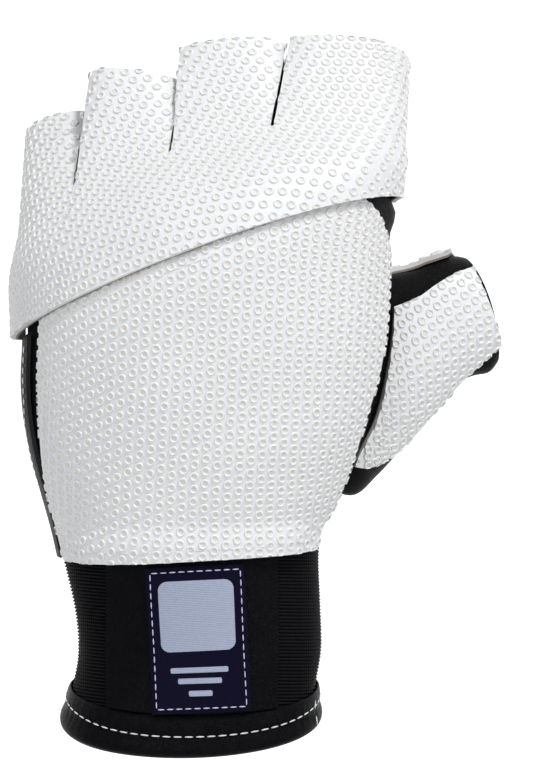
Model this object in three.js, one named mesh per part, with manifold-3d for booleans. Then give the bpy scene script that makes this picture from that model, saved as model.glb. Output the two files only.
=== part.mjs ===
// A left-hand half-finger sport glove, seen open as it is when worn: a black leather shell with
// separate finger tubes and a thumb tube, white dotted rubber panels on the back of the hand, the
// knuckles, the thumb and the palm, an elastic cuff with a smooth patch and a woven label, and a
// bound hem. Millimetres, +Z towards the fingers, -Y towards the back of the hand, +X towards the
// thumb. The origin is the middle of the wrist opening.

import * as THREE from 'three';
import { mergeVertices } from 'three/addons/utils/BufferGeometryUtils.js';
import Module from 'manifold-3d';

// Overall sizes
const wristWidth = 70; // across the cuff, side to side
const wristDepth = 44; // cuff, back of the hand to palm
const palmWidth = 102; // across the knuckles
const palmDepth = 50; // knuckles, back of the hand to palm
const cuffHeight = 46; // wrist opening to the lower edge of the back panel
const palmLength = 110; // lower edge of the back panel to the slit between ring and middle finger
const fingerLength = 31; // that slit to the top of the middle finger's tab
const thumbLength = 50.3; // from the thumb's root inside the hand to its opening
const thumbHeight = 68; // thumb's root, lowest to highest point
const thumbDepth = 24; // thumb, back to palm side

// Walls
const leatherWall = 1.2;
const elasticWall = 1.7;
const panelWall = 1.8; // dotted rubber on its backing
const patchWall = 1.1;
const labelWall = 0.8;
const hemWall = 1.3;
const seatGap = 0.34; // between pieces that lie on each other

// Trim
const slitWidth = 0.8;
const bandLap = 7; // how far the back panel runs up under the knuckle band
const panelLap = 3.6; // how far the back panel hangs down over the elastic
const cornerAngle = 35; // where the back of a finger turns into its side, degrees from the side
const foldSpread = 0.4; // how far each wall of a folded strip stands from the slit's middle
const rimStep = 0.8; // how far the leather stays short of the tabs' ends
const patchWidth = 45;
const labelWidth = 25.5;
const labelHeight = 39.7;
const labelTurn = 2.8; // degrees
const hemInside = 7; // height of the binding inside the cuff
const elasticSeat = 2.2; // thickness of the binding under the elastic's lower edge
const cavityReach = 6; // how far the thumb's hollow runs past its opening, for the cut
const panelCut = 5; // how far below the band the back panel's cut corner starts
const palmLow = 3; // palm panel's lower edge above the elastic
const palmHigh = 3; // palm panel's upper edge below the slits
const lapHigh = 2; // side lap's upper end below the band's edge
const patchHigh = 0.5; // patch's upper edge below the elastic's
const thumbRim = 0.3; // how far the thumb's panels stay short of its opening

// Edges in degrees round the hand's section, from its left side over the back of the hand
const slitAngles = [43.5, 77.4, 108.4];
const bandEdges = { left: -14, right: 186, leftTab: 200, rightTab: -12 };
const bandTurn = { from: 168, to: 182 }; // where the band comes down on the thumb side's leather
const lapEdges = { from: -18, to: 15 };
const palmEdges = { from: 202, to: 334 };
const panelCorner = 13; // what the corner by the index finger takes off the back panel

// Edges in degrees round the thumb's section, from its top over its back
const thumbBackFrom = 49;
const thumbPalmFrom = 196;
const thumbPalmTo = 353;

// Shares of the back panel over which it climbs onto the patch, up and across
const climbUp = { from: 0.04, to: 0.16 };
const climbAcross = { from: 0.33, to: 0.46 };
const bandClimb = { from: 0.35, to: 0.95 }; // and of the band, down off the back panel

// Facets
const handRows = 14;
const handSides = 48;
const fingerRows = 5;
const fingerSides = 4;
const littleSides = 10; // round the little finger's outer side
const indexSides = 15; // round the index finger's outer side
const foldRows = 5;
const panelRows = 18;
const panelColumns = 14;
const bandRows = 6;
const bandSides = [6, 4, 4, 8];
const thumbRows = 8;
const thumbSides = 22;
const cuffSides = 40;

// Sections of the hand from the wrist to the slits. from and span give the stretch that leftUp and
// rightUp are shares of, width is what left and right are shares of, and depth what back, palm and
// side are shares of. tilt is the slope of the section's plane: above 0 its back edge is higher.
// full is the roundness of its curve, and panelFrom and panelTo are the back panel's two edges, in
// degrees round the section from its left side.
const cuff = { from: 0, span: cuffHeight, width: wristWidth, depth: wristDepth };
const hand = { from: cuffHeight, span: palmLength, width: palmWidth, depth: palmDepth };
const handTable = [
  { name: 'hemBottom', ...cuff, leftUp: 0.0, rightUp: 0.03, left: -0.5, right: 0.478,
    back: -0.59, palm: 0.39, side: 0.0, tilt: -0.33, full: 0.9, panelFrom: 24, panelTo: 156 },
  { name: 'hemTop', ...cuff, leftUp: 0.217, rightUp: 0.225, left: -0.473, right: 0.482,
    back: -0.585, palm: 0.375, side: 0.0, tilt: -0.28, full: 0.9, panelFrom: 24, panelTo: 156 },
  { name: 'cuffWaist', ...cuff, leftUp: 0.43, rightUp: 0.44, left: -0.45, right: 0.502,
    back: -0.575, palm: 0.365, side: 0.0, tilt: -0.19, full: 0.9, panelFrom: 24, panelTo: 156 },
  { name: 'cuffMiddle', ...cuff, leftUp: 0.7, rightUp: 0.73, left: -0.466, right: 0.497,
    back: -0.59, palm: 0.365, side: 0.0, tilt: -0.12, full: 0.92, panelFrom: 24, panelTo: 156 },
  { name: 'cuffTop', ...cuff, leftUp: 1.06, rightUp: 1.13, left: -0.52, right: 0.502,
    back: -0.62, palm: 0.375, side: 0.0, tilt: -0.07, full: 0.94, panelFrom: 22, panelTo: 158 },
  { name: 'handHeel', ...hand, leftUp: 0.15, rightUp: 0.16, left: -0.392, right: 0.396,
    back: -0.6, palm: 0.335, side: -0.01, tilt: 0.0, full: 0.96, panelFrom: 21, panelTo: 161 },
  { name: 'thumbRoot', ...hand, leftUp: 0.3, rightUp: 0.33, left: -0.433, right: 0.478,
    back: -0.65, palm: 0.335, side: -0.02, tilt: 0.02, full: 0.97, panelFrom: 26, panelTo: 157 },
  { name: 'midHand', ...hand, leftUp: 0.42, rightUp: 0.57, left: -0.446, right: 0.524,
    back: -0.68, palm: 0.32, side: -0.03, tilt: 0.06, full: 0.98, panelFrom: 27, panelTo: 162 },
  { name: 'bandEdge', ...hand, leftUp: 0.535, rightUp: 0.88, left: -0.446, right: 0.526,
    back: -0.665, palm: 0.29, side: -0.04, tilt: 0.17, full: 0.96, panelFrom: 28, panelTo: 163 },
  { name: 'knuckles', ...hand, leftUp: 0.69, rightUp: 0.965, left: -0.449, right: 0.538,
    back: -0.5, palm: 0.27, side: -0.02, tilt: 0.34, full: 0.9, panelFrom: 28, panelTo: 163 },
  { name: 'slits', ...hand, leftUp: 0.825, rightUp: 1.045, left: -0.444, right: 0.55,
    back: -0.27, palm: 0.26, side: 0.02, tilt: 0.5, full: 0.84, panelFrom: 28, panelTo: 163 },
];

// Finger openings, as shares: across and wide of palmWidth, deep and behind of palmDepth, rise of
// fingerLength above the middle slit. turn is in degrees, and slope tips the end towards the thumb.
const fingerTable = [
  { name: 'little', across: -0.349, wide: 0.162, deep: 0.28,
    behind: 0.38, rise: 0.32, turn: 20, slope: 0.1 },
  { name: 'ring', across: -0.149, wide: 0.24, deep: 0.36,
    behind: 0.26, rise: 0.7, turn: 6, slope: -0.19 },
  { name: 'middle', across: 0.112, wide: 0.27, deep: 0.4,
    behind: 0.32, rise: 0.98, turn: 0, slope: 0.07 },
  { name: 'index', across: 0.406, wide: 0.318, deep: 0.42,
    behind: 0.36, rise: 1.0, turn: -8, slope: -0.03 },
];
const endTilt = 0.52; // slope of the finger openings, back edge higher

// Sections of the thumb from its root to its opening, as shares: top and bottom along of
// thumbLength, up of thumbHeight, behind, back and palm of thumbDepth. crown is how far the middle
// of the section runs ahead of its ends, as a share of thumbLength, and backTo is the lower edge of
// the thumb's back panel, in degrees round the section from its top.
const thumbTable = [
  { topAlong: 0.12, topUp: 0.82, bottomAlong: 0.0, bottomUp: 0.06,
    behind: 0.08, back: 0.3, palm: 0.28, crown: 0.0, backTo: 128 },
  { topAlong: 0.298, topUp: 0.89, bottomAlong: 0.187, bottomUp: 0.015,
    behind: 0.25, back: 0.42, palm: 0.46, crown: 0.0, backTo: 136 },
  { topAlong: 0.423, topUp: 0.913, bottomAlong: 0.32, bottomUp: 0.092,
    behind: 0.37, back: 0.45, palm: 0.5, crown: 0.0, backTo: 148 },
  { topAlong: 0.535, topUp: 0.93, bottomAlong: 0.463, bottomUp: 0.206,
    behind: 0.49, back: 0.46, palm: 0.5, crown: 0.0, backTo: 158 },
  { topAlong: 0.616, topUp: 0.955, bottomAlong: 0.6, bottomUp: 0.33,
    behind: 0.61, back: 0.46, palm: 0.47, crown: 0.0, backTo: 163 },
  { topAlong: 0.7, topUp: 0.978, bottomAlong: 0.728, bottomUp: 0.44,
    behind: 0.72, back: 0.45, palm: 0.44, crown: 0.01, backTo: 163 },
  { topAlong: 0.757, topUp: 0.985, bottomAlong: 0.86, bottomUp: 0.515,
    behind: 0.82, back: 0.44, palm: 0.42, crown: 0.04, backTo: 160 },
  { topAlong: 0.79, topUp: 0.98, bottomAlong: 0.97, bottomUp: 0.56,
    behind: 0.9, back: 0.44, palm: 0.41, crown: 0.07, backTo: 156 },
];
const thumbBase = { across: 0.337, up: 0.136 }; // root's place: shares of palmWidth and palmLength
const openingCorner = 0.67; // squareness of the finger openings: 1 is an ellipse, 0 a rectangle
const labelPlace = { across: 0.024, up: 0.52 }; // shares of wristWidth and cuffHeight

// Finishes
const leather = { color: 0x2a272c, roughness: 0.55, metalness: 0 };
const rubber = { color: 0xe9eaec, roughness: 0.6, metalness: 0 };
const knit = { color: 0x121115, roughness: 0.85, metalness: 0 };
const smooth = { color: 0x17151a, roughness: 0.45, metalness: 0 };
const weave = { color: 0x0e0b1d, roughness: 0.8, metalness: 0 };

const radians = THREE.MathUtils.degToRad;
const { lerp, clamp, smoothstep } = THREE.MathUtils;

// Reads one column of a table at a place between its rows, on a smooth curve through them.
function between(table, column, at) {
  const row = clamp(Math.floor(at), 0, table.length - 2);
  const share = at - row;
  const start = table[row][column];
  const end = table[row + 1][column];
  const before = row > 0 ? table[row - 1][column] : 2 * start - end;
  const after = row + 2 < table.length ? table[row + 2][column] : 2 * end - start;
  const pull = (end - before) / 2;
  const push = (after - start) / 2;
  const square = share * share;
  const cube = square * share;
  return start * (2 * cube - 3 * square + 1) + pull * (cube - 2 * square + share)
    + end * (3 * square - 2 * cube) + push * (cube - square);
}

const handSections = handTable.map((row) => ({
  ...row,
  left: row.left * row.width,
  right: row.right * row.width,
  leftUp: row.from + row.leftUp * row.span,
  rightUp: row.from + row.rightUp * row.span,
  back: row.back * row.depth,
  palm: row.palm * row.depth,
  side: row.side * row.depth,
}));
const rowNamed = Object.fromEntries(handTable.map((row, index) => [row.name, index]));

// A point of the hand's form: angle in degrees from the left side over the back of the hand.
function handPoint(angle, at) {
  const value = (column) => between(handSections, column, at);
  const share = (1 - Math.cos(radians(angle))) / 2;
  const bulge = Math.sin(radians(angle));
  const reach = Math.abs(bulge) ** value('full');
  const depth = bulge > 0 ? value('back') - value('side') : value('palm') - value('side');
  const y = value('side') + depth * reach;
  const up = lerp(value('leftUp'), value('rightUp'), share);
  return new THREE.Vector3(
    lerp(value('left'), value('right'), share), y, up - value('tilt') * (y - value('side')));
}

// The place between rows that lies some millimetres above or below a row.
function rowFrom(name, millimetres) {
  const row = rowNamed[name];
  const other = millimetres > 0 ? row + 1 : row - 1;
  const pitch = handPoint(90, row).distanceTo(handPoint(90, other));
  return row + millimetres / pitch;
}

const slitRow = rowNamed.slits;
const frontSlits = slitAngles.map((angle) => handPoint(angle, slitRow));
const palmSlits = slitAngles.map((angle) => handPoint(360 - angle, slitRow));

const fingers = fingerTable.map((row) => {
  const wide = row.wide * palmWidth;
  const deep = row.deep * palmDepth;
  const top = cuffHeight + palmLength + row.rise * fingerLength;
  return {
    ...row, wide, deep, turn: radians(row.turn),
    end: new THREE.Vector3(row.across * palmWidth, row.behind * palmDepth, top - endTilt * deep / 2),
  };
});

// A point of a finger opening's edge: angle in degrees, 90 on its back and 0 on its thumb side.
function openingPoint(finger, angle) {
  const swing = (value) => Math.sign(value) * Math.abs(value) ** openingCorner;
  const across = finger.wide / 2 * swing(Math.cos(radians(angle)));
  const behind = -finger.deep / 2 * swing(Math.sin(radians(angle)));
  const x = across * Math.cos(finger.turn) + behind * Math.sin(finger.turn);
  const y = -across * Math.sin(finger.turn) + behind * Math.cos(finger.turn);
  return new THREE.Vector3(x, y, finger.slope * x - endTilt * y).add(finger.end);
}

// A point of a finger's tube, from where it starts on the hand to its opening.
function fingerPoint(finger, start, angle, share) {
  return start.clone().lerp(openingPoint(finger, angle), share);
}

// Columns that run up the hand and on up the fingers, with two lips at each slit.
const lip = THREE.MathUtils.radToDeg(slitWidth / palmWidth);
function column(finger, angle, opening) {
  return { finger: fingers[finger], angle, opening };
}
function columnsAcross(finger, fromAngle, toAngle, fromOpening, toOpening, steps) {
  const columns = [];
  for (let step = 0; step <= steps; step += 1) {
    const share = step / steps;
    columns.push(column(finger, lerp(fromAngle, toAngle, share), lerp(fromOpening, toOpening, share)));
  }
  columns[steps].last = true;
  return columns;
}
const farCorner = 180 - cornerAngle;
function backColumns(firstAngle, firstOpening, lastAngle, lastOpening, steps) {
  const [first, second, third] = slitAngles;
  return [
    ...columnsAcross(0, firstAngle, first - lip, firstOpening, cornerAngle, steps[0]),
    ...columnsAcross(1, first + lip, second - lip, farCorner, cornerAngle, steps[1]),
    ...columnsAcross(2, second + lip, third - lip, farCorner, cornerAngle, steps[2]),
    ...columnsAcross(3, third + lip, lastAngle, farCorner, lastOpening, steps[3]),
  ];
}

// A grid up the hand and the fingers, some millimetres short of the openings.
function upTheGlove(columns, firstRow, rows, short) {
  const grid = [];
  for (let step = 0; step <= rows; step += 1) {
    const at = lerp(firstRow, slitRow, step / rows);
    grid.push(columns.map(({ angle }) => handPoint(angle, at)));
  }
  const starts = grid.at(-1);
  for (let step = 1; step <= fingerRows; step += 1) {
    const share = step / fingerRows * (1 - short / fingerLength);
    grid.push(columns.map(({ finger, opening }, index) => (
      fingerPoint(finger, starts[index], opening, share))));
  }
  return grid;
}

// Corner list of the quads of a grid, without those that are left out.
function quadsOf(grid, round, isOpen) {
  const quads = [];
  const across = grid[0].length;
  for (let row = 0; row + 1 < grid.length; row += 1) {
    for (let index = 0; index < (round ? across : across - 1); index += 1) {
      if (!isOpen(row, index)) {
        const next = (index + 1) % across;
        quads.push([row * across + index, row * across + next,
          (row + 1) * across + next, (row + 1) * across + index]);
      }
    }
  }
  return quads;
}

function normalsOf(points, quads) {
  const normals = points.map(() => new THREE.Vector3());
  for (const [a, b, c, d] of quads) {
    const face = points[c].clone().sub(points[a]).cross(points[d].clone().sub(points[b]));
    for (const corner of [a, b, c, d]) {
      normals[corner].add(face);
    }
  }
  return normals.map((normal) => normal.normalize());
}

// A closed sheet between two offsets from a grid of points. An offset is a number or is worked out
// from the row and the column.
function sheet(grid, inner, outer, { round = false, isOpen = () => false } = {}) {
  const points = grid.flat();
  const across = grid[0].length;
  const quads = quadsOf(grid, round, isOpen);
  const normals = normalsOf(points, quads);
  const offsetAt = (offset, index) => (typeof offset === 'number'
    ? offset : offset(Math.floor(index / across), index % across));
  const moved = (offset) => points.map((point, index) => point.clone()
    .addScaledVector(normals[index], offsetAt(offset, index)));
  const count = points.length;
  const faces = [];
  const sides = new Map();
  for (const [a, b, c, d] of quads) {
    faces.push([a, b, c], [a, c, d]);
    faces.push([count + a, count + c, count + b], [count + a, count + d, count + c]);
    for (const [start, end] of [[a, b], [b, c], [c, d], [d, a]]) {
      sides.set(`${start} ${end}`, [start, end]);
    }
  }
  for (const [start, end] of sides.values()) {
    if (!sides.has(`${end} ${start}`)) {
      faces.push([start, count + start, count + end], [start, count + end, end]);
    }
  }
  return closed([...moved(outer), ...moved(inner)], faces);
}

// A tube along a round grid, filled and closed at both ends.
function filled(grid, offset) {
  const points = grid.flat();
  const across = grid[0].length;
  const quads = quadsOf(grid, true, () => false);
  const normals = normalsOf(points, quads);
  const corners = points.map((point, index) => (
    point.clone().addScaledVector(normals[index], offset)));
  const faces = quads.flatMap(([a, b, c, d]) => [[a, b, c], [a, c, d]]);
  for (const [row, turn] of [[0, true], [grid.length - 1, false]]) {
    const middle = new THREE.Vector3();
    const first = row * across;
    for (let index = 0; index < across; index += 1) {
      middle.addScaledVector(corners[first + index], 1 / across);
    }
    const hub = corners.push(middle) - 1;
    for (let index = 0; index < across; index += 1) {
      const pair = [first + index, first + (index + 1) % across];
      faces.push(turn ? [hub, pair[1], pair[0]] : [hub, pair[0], pair[1]]);
    }
  }
  return closed(corners, faces);
}

function closed(points, faces) {
  const geometry = new THREE.BufferGeometry();
  const numbers = points.flatMap((point) => point.toArray());
  geometry.setAttribute('position', new THREE.Float32BufferAttribute(numbers, 3));
  geometry.setIndex(faces.flat());
  return geometry;
}

const wasm = await Module();
wasm.setup();

function solidOf(geometry) {
  const merged = mergeVertices(geometry);
  return new wasm.Manifold(new wasm.Mesh({
    numProp: 3,
    vertProperties: new Float32Array(merged.attributes.position.array),
    triVerts: new Uint32Array(merged.index.array),
  }));
}

function cut(geometry, ...tools) {
  let solid = solidOf(geometry);
  for (const tool of tools) {
    solid = solid.subtract(solidOf(tool));
  }
  const mesh = solid.getMesh();
  const result = new THREE.BufferGeometry();
  result.setAttribute('position', new THREE.Float32BufferAttribute(mesh.vertProperties, 3));
  result.setIndex(Array.from(mesh.triVerts));
  return result;
}

function gridOver(rows, columns, place) {
  const grid = [];
  for (let row = 0; row <= rows; row += 1) {
    const line = [];
    for (let index = 0; index <= columns; index += 1) {
      line.push(place(index / columns, row / rows));
    }
    grid.push(line);
  }
  return grid;
}

const glove = new THREE.Group();
function add(name, geometry, finish) {
  const mesh = new THREE.Mesh(geometry, new THREE.MeshStandardMaterial(finish));
  mesh.name = name;
  glove.add(mesh);
}

// Thumb's form
const thumbRoot = new THREE.Vector3(
  thumbBase.across * palmWidth, 0, cuffHeight + thumbBase.up * palmLength);
function thumbPoint(angle, at) {
  const value = (name) => between(thumbTable, name, at);
  const share = (1 - Math.cos(radians(angle))) / 2;
  const bulge = Math.sin(radians(angle));
  const lead = value('crown') * Math.abs(bulge);
  const depth = bulge > 0 ? -value('back') : value('palm');
  return new THREE.Vector3(
    (lerp(value('topAlong'), value('bottomAlong'), share) + lead) * thumbLength,
    (value('behind') + depth * Math.abs(bulge)) * thumbDepth,
    lerp(value('topUp'), value('bottomUp'), share) * thumbHeight + lead * thumbLength / 2,
  ).add(thumbRoot);
}
const thumbEnd = thumbTable.length - 1;
const thumbForm = gridOver(thumbRows, thumbSides, (around, along) => (
  thumbPoint(360 * around, along * thumbEnd))).map((line) => line.slice(0, -1));
const beyond = thumbForm.at(-1).map((point, index) => point.clone().add(
  point.clone().sub(thumbForm.at(-2)[index]).setLength(cavityReach)));
const thumbHollow = filled([...thumbForm, beyond], -leatherWall);

// Hand's shell, with its finger tubes open at their sides
const seam = rowFrom('cuffTop', seatGap / 2);
const [firstSlit, secondSlit, thirdSlit] = slitAngles;
const shellColumns = [
  ...backColumns(-firstSlit + lip, 360 - cornerAngle, 360 - thirdSlit - lip, -farCorner,
    [littleSides, fingerSides, fingerSides, indexSides]),
  ...columnsAcross(2, 360 - thirdSlit + lip, 360 - secondSlit - lip, -cornerAngle, -farCorner,
    fingerSides),
  ...columnsAcross(1, 360 - secondSlit + lip, 360 - firstSlit - lip, -cornerAngle, -farCorner,
    fingerSides),
];
const shellGrid = upTheGlove(shellColumns, seam, handRows, rimStep);
const shell = sheet(shellGrid, -leatherWall, 0, {
  round: true,
  isOpen: (row, index) => row >= handRows && shellColumns[index].last === true,
});
add('hand_shell', cut(shell, thumbHollow), leather);

// The hand as a filled form, for fitting what is sewn to it
function filledHand(offset) {
  const grid = gridOver(handRows, handSides, (around, along) => (
    handPoint(360 * around, lerp(seam, slitRow, along))));
  return filled(grid.map((line) => line.slice(0, -1)), offset);
}

// Strips between the fingers, folded at the bottom of each slit
const foldTrim = 1.6 * leatherWall + seatGap; // how far a fold stays inside the slit's ends
slitAngles.forEach((angle, index) => {
  const near = fingers[index];
  const far = fingers[index + 1];
  const depth = frontSlits[index].distanceTo(palmSlits[index]);
  const wall = (finger, across, share, flip) => {
    const inset = foldTrim / depth;
    const start = frontSlits[index].clone().lerp(palmSlits[index], lerp(inset, 1 - inset, across));
    const sideRange = cornerAngle - THREE.MathUtils.radToDeg(2 * foldTrim / finger.deep);
    const around = lerp(sideRange, -sideRange, across);
    const up = share * (1 - rimStep / fingerLength);
    const point = fingerPoint(finger, start, flip ? 180 - around : around, up);
    point.x += flip ? foldSpread : -foldSpread;
    return point;
  };
  const rows = 2 * foldRows + 1;
  const grid = gridOver(rows, fingerSides, (across, along) => (along < 0.5
    ? wall(near, across, 1 - along * rows / foldRows, false)
    : wall(far, across, 1 - (1 - along) * rows / foldRows, true)));
  add(`fourchette_${index + 1}`, sheet(grid, 0, leatherWall), leather);
});

// Back panel
const panelBottom = rowFrom('cuffTop', -panelLap);
const panelTop = rowFrom('bandEdge', bandLap);
const panelSeat = 1.5 * seatGap;
const panelOver = patchWall + seatGap; // the patch lies under the panel's lower edge
function panelInner(row, index) {
  const low = 1 - smoothstep(row / panelRows, climbUp.from, climbUp.to);
  const beside = Math.abs(index / panelColumns - 0.5);
  return panelSeat + panelOver * low * (1 - smoothstep(beside, climbAcross.from, climbAcross.to));
}
const panelGrid = gridOver(panelRows, panelColumns, (across, along) => {
  const at = lerp(panelBottom, panelTop, along);
  const from = between(handSections, 'panelFrom', at);
  const corner = panelCorner * smoothstep(at, rowFrom('bandEdge', -panelCut), rowNamed.bandEdge);
  const to = between(handSections, 'panelTo', at) - corner;
  return handPoint(lerp(from, to, across), at);
});
const panelTopFace = (row, index) => panelInner(row, index) + panelWall;
add('back_panel', sheet(panelGrid, panelInner, panelTopFace), rubber);

// Knuckle band with a tab up the back of each finger
const bandColumns = backColumns(
  bandEdges.left, bandEdges.leftTab, bandEdges.right, bandEdges.rightTab, bandSides);
const bandOver = panelWall + panelSeat + seatGap;
function bandInner(row, index) {
  const above = smoothstep(row / bandRows, bandClimb.from, bandClimb.to);
  const beside = smoothstep(bandColumns[index].angle, bandTurn.from, bandTurn.to);
  return lerp(bandOver, seatGap, Math.max(above, beside));
}
const bandGrid = upTheGlove(bandColumns, rowNamed.bandEdge, bandRows, 0);
add('knuckle_band', sheet(bandGrid, bandInner, (row, index) => bandInner(row, index) + panelWall, {
  isOpen: (row, index) => row >= bandRows && bandColumns[index].last === true,
}), rubber);

// Leather lap along the little finger's side seam
const lapGrid = gridOver(7, 3, (across, along) => handPoint(
  lerp(lapEdges.from, lapEdges.to, across),
  lerp(rowFrom('cuffTop', 1), rowFrom('bandEdge', -lapHigh), along)));
add('side_lap', sheet(lapGrid, seatGap, seatGap + leatherWall), leather);

// Thumb's shell and panels
const thumbSeat = 1.3 * seatGap;
const panelOuter = thumbSeat + panelWall;
const thumbShell = sheet(thumbForm, -leatherWall, 0, { round: true });
add('thumb_shell', cut(thumbShell, filledHand(seatGap)), leather);
const clearOfHand = filledHand(panelOuter + seatGap);
function thumbPanel(from, to) {
  const grid = gridOver(thumbRows, 8, (around, along) => {
    const at = along * (thumbEnd - thumbRim * thumbEnd / thumbLength);
    return thumbPoint(lerp(from, to(at), around), at);
  });
  return cut(sheet(grid, thumbSeat, panelOuter), clearOfHand);
}
const thumbBackTo = (at) => between(thumbTable, 'backTo', at);
add('thumb_back_panel', thumbPanel(thumbBackFrom, thumbBackTo), rubber);
add('thumb_palm_panel', thumbPanel(thumbPalmFrom, () => thumbPalmTo), rubber);

// Palm panel, cut round the thumb
const palmGrid = gridOver(9, 12, (across, along) => handPoint(
  lerp(palmEdges.from, palmEdges.to, across),
  lerp(rowFrom('cuffTop', palmLow), rowFrom('slits', -palmHigh), along)));
const clearOfThumb = filled(thumbForm, 2 * seatGap);
add('palm_panel', cut(sheet(palmGrid, seatGap, panelOuter), clearOfThumb), rubber);

// Elastic cuff
function ringAt(at) {
  return Array.from({ length: cuffSides }, (_, index) => handPoint(360 * index / cuffSides, at));
}
const elasticBottom = rowFrom('hemBottom', elasticSeat + seatGap);
const elasticTop = rowFrom('cuffTop', -seatGap / 2);
const elasticGrid = [0, 0.2, 0.4, 0.6, 0.8, 1].map((share) => (
  ringAt(lerp(elasticBottom, elasticTop, share))));
add('elastic_cuff', sheet(elasticGrid, -elasticWall, 0, { round: true }), knit);

// Hem binding, folded round the elastic's lower edge
const slightly = 0.1; // step between rows that gives a ring its outward direction
const hemProfile = [
  { up: rowNamed.hemTop, out: seatGap },
  { up: rowFrom('hemBottom', elasticSeat), out: seatGap },
  { up: rowFrom('hemBottom', elasticSeat), out: -elasticWall - seatGap },
  { up: rowFrom('hemBottom', hemInside), out: -elasticWall - seatGap },
  { up: rowFrom('hemBottom', hemInside), out: -elasticWall - seatGap - hemWall },
  { up: rowFrom('hemBottom', elasticSeat), out: -elasticWall - seatGap - hemWall },
  { up: rowNamed.hemBottom, out: -elasticWall },
  { up: rowNamed.hemBottom, out: 0 },
  { up: rowFrom('hemBottom', elasticSeat), out: seatGap + hemWall },
  { up: rowNamed.hemTop, out: seatGap + hemWall },
];
const hemRings = hemProfile.map(({ up, out }) => {
  const line = ringAt(up);
  const above = ringAt(up + slightly);
  const normals = normalsOf([...line, ...above], quadsOf([line, above], true, () => false));
  return line.map((point, index) => point.clone().addScaledVector(normals[index], out));
});
const hemFaces = [];
hemRings.forEach((line, ring) => {
  const nextRing = (ring + 1) % hemRings.length;
  line.forEach((point, index) => {
    const next = (index + 1) % cuffSides;
    const corner = (r, i) => r * cuffSides + i;
    hemFaces.push([corner(ring, index), corner(ring, next), corner(nextRing, next)]);
    hemFaces.push([corner(ring, index), corner(nextRing, next), corner(nextRing, index)]);
  });
});
add('hem_binding', closed(hemRings.flat(), hemFaces), smooth);

// Smooth patch and label on the back of the cuff
function angleAt(x, at) {
  const left = between(handSections, 'left', at);
  const right = between(handSections, 'right', at);
  return THREE.MathUtils.radToDeg(Math.acos(clamp(1 - 2 * (x - left) / (right - left), -1, 1)));
}
const patchGrid = gridOver(6, 8, (across, along) => {
  const at = lerp(rowFrom('hemTop', 2 * seatGap), rowFrom('cuffTop', -patchHigh), along);
  return handPoint(angleAt((across - 0.5) * patchWidth, at), at);
});
add('wrist_patch', sheet(patchGrid, seatGap, seatGap + patchWall), smooth);

const labelLow = seatGap + patchWall + seatGap;
const labelMiddle = new THREE.Vector2(
  labelPlace.across * wristWidth, labelPlace.up * cuffHeight);
const rowPitch = cuffHeight / rowNamed.cuffTop;
const labelGrid = gridOver(6, 4, (across, along) => {
  const place = new THREE.Vector2((across - 0.5) * labelWidth, (along - 0.5) * labelHeight)
    .rotateAround(new THREE.Vector2(), radians(labelTurn)).add(labelMiddle);
  let at = rowNamed.cuffWaist;
  let miss = Infinity;
  while (Math.abs(miss) > 0.01) {
    miss = place.y - handPoint(angleAt(place.x, at), at).z;
    at += miss / rowPitch;
  }
  return handPoint(angleAt(place.x, at), at);
});
add('label', sheet(labelGrid, labelLow, labelLow + labelWall), weave);

export default glove;
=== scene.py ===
# A left-hand half-finger sport glove, held up and filled out as on a hand: black leather with
# white ring-dotted rubber on the back, knuckles, thumb and palm, a ribbed elastic cuff and a
# bound hem. +Z is towards the fingers, -Y out of the back of the hand, +X towards the thumb.

import math

import bmesh
import bpy
import numpy as np
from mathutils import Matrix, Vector
from mathutils.bvhtree import BVHTree


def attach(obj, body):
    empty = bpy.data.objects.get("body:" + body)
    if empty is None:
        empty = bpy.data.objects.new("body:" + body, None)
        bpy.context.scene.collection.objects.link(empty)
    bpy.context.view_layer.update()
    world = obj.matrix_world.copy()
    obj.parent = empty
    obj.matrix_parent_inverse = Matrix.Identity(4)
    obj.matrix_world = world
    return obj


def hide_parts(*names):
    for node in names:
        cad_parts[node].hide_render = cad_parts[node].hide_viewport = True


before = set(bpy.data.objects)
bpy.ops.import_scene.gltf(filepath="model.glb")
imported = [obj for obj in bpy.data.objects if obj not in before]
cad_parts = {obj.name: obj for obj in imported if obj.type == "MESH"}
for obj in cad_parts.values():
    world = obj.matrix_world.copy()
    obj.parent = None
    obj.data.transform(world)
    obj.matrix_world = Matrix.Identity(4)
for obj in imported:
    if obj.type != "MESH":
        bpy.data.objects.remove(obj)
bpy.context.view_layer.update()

# Hand shell: soft black grained leather, 1.2 mm thick, cut and sewn as one hand with four open
# finger tubes. The hand inside gives it its form, which every other piece is laid on.
mm = 0.001
leather_wall = 1.2
hand_rows = {
    "left": (-35, -33.11, -31.5, -32.62, -36.4, -39.98, -44.17, -45.49, -45.49, -45.8, -45.29),
    "right": (33.46, 33.74, 35.14, 34.79, 35.14, 40.39, 48.76, 53.45, 53.65, 54.88, 56.1),
    "left_up": (0, 9.98, 19.78, 32.2, 48.76, 62.5, 79, 92.2, 104.85, 121.9, 136.75),
    "right_up": (1.38, 10.35, 20.24, 33.58, 51.98, 63.6, 82.3, 108.7, 142.8, 152.15, 160.95),
    "back": (-25.96, -25.74, -25.3, -25.96, -27.28, -30, -32.5, -34, -33.25, -25, -13.5),
    "palm": (17.16, 16.5, 16.06, 16.06, 16.5, 16.75, 16.75, 16, 14.5, 13.5, 13),
    "side": (0, 0, 0, 0, 0, -0.5, -1, -1.5, -2, -1, 1),
    "tilt": (-0.33, -0.28, -0.19, -0.12, -0.07, 0, 0.02, 0.06, 0.17, 0.34, 0.5),
    "full": (0.9, 0.9, 0.9, 0.92, 0.94, 0.96, 0.97, 0.98, 0.96, 0.9, 0.84),
}
hand_rows = {name: np.array(column, float) for name, column in hand_rows.items()}
slit_angles = (43.5, 77.4, 108.4)
slit_row = 10
finger_rows = 2
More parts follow.
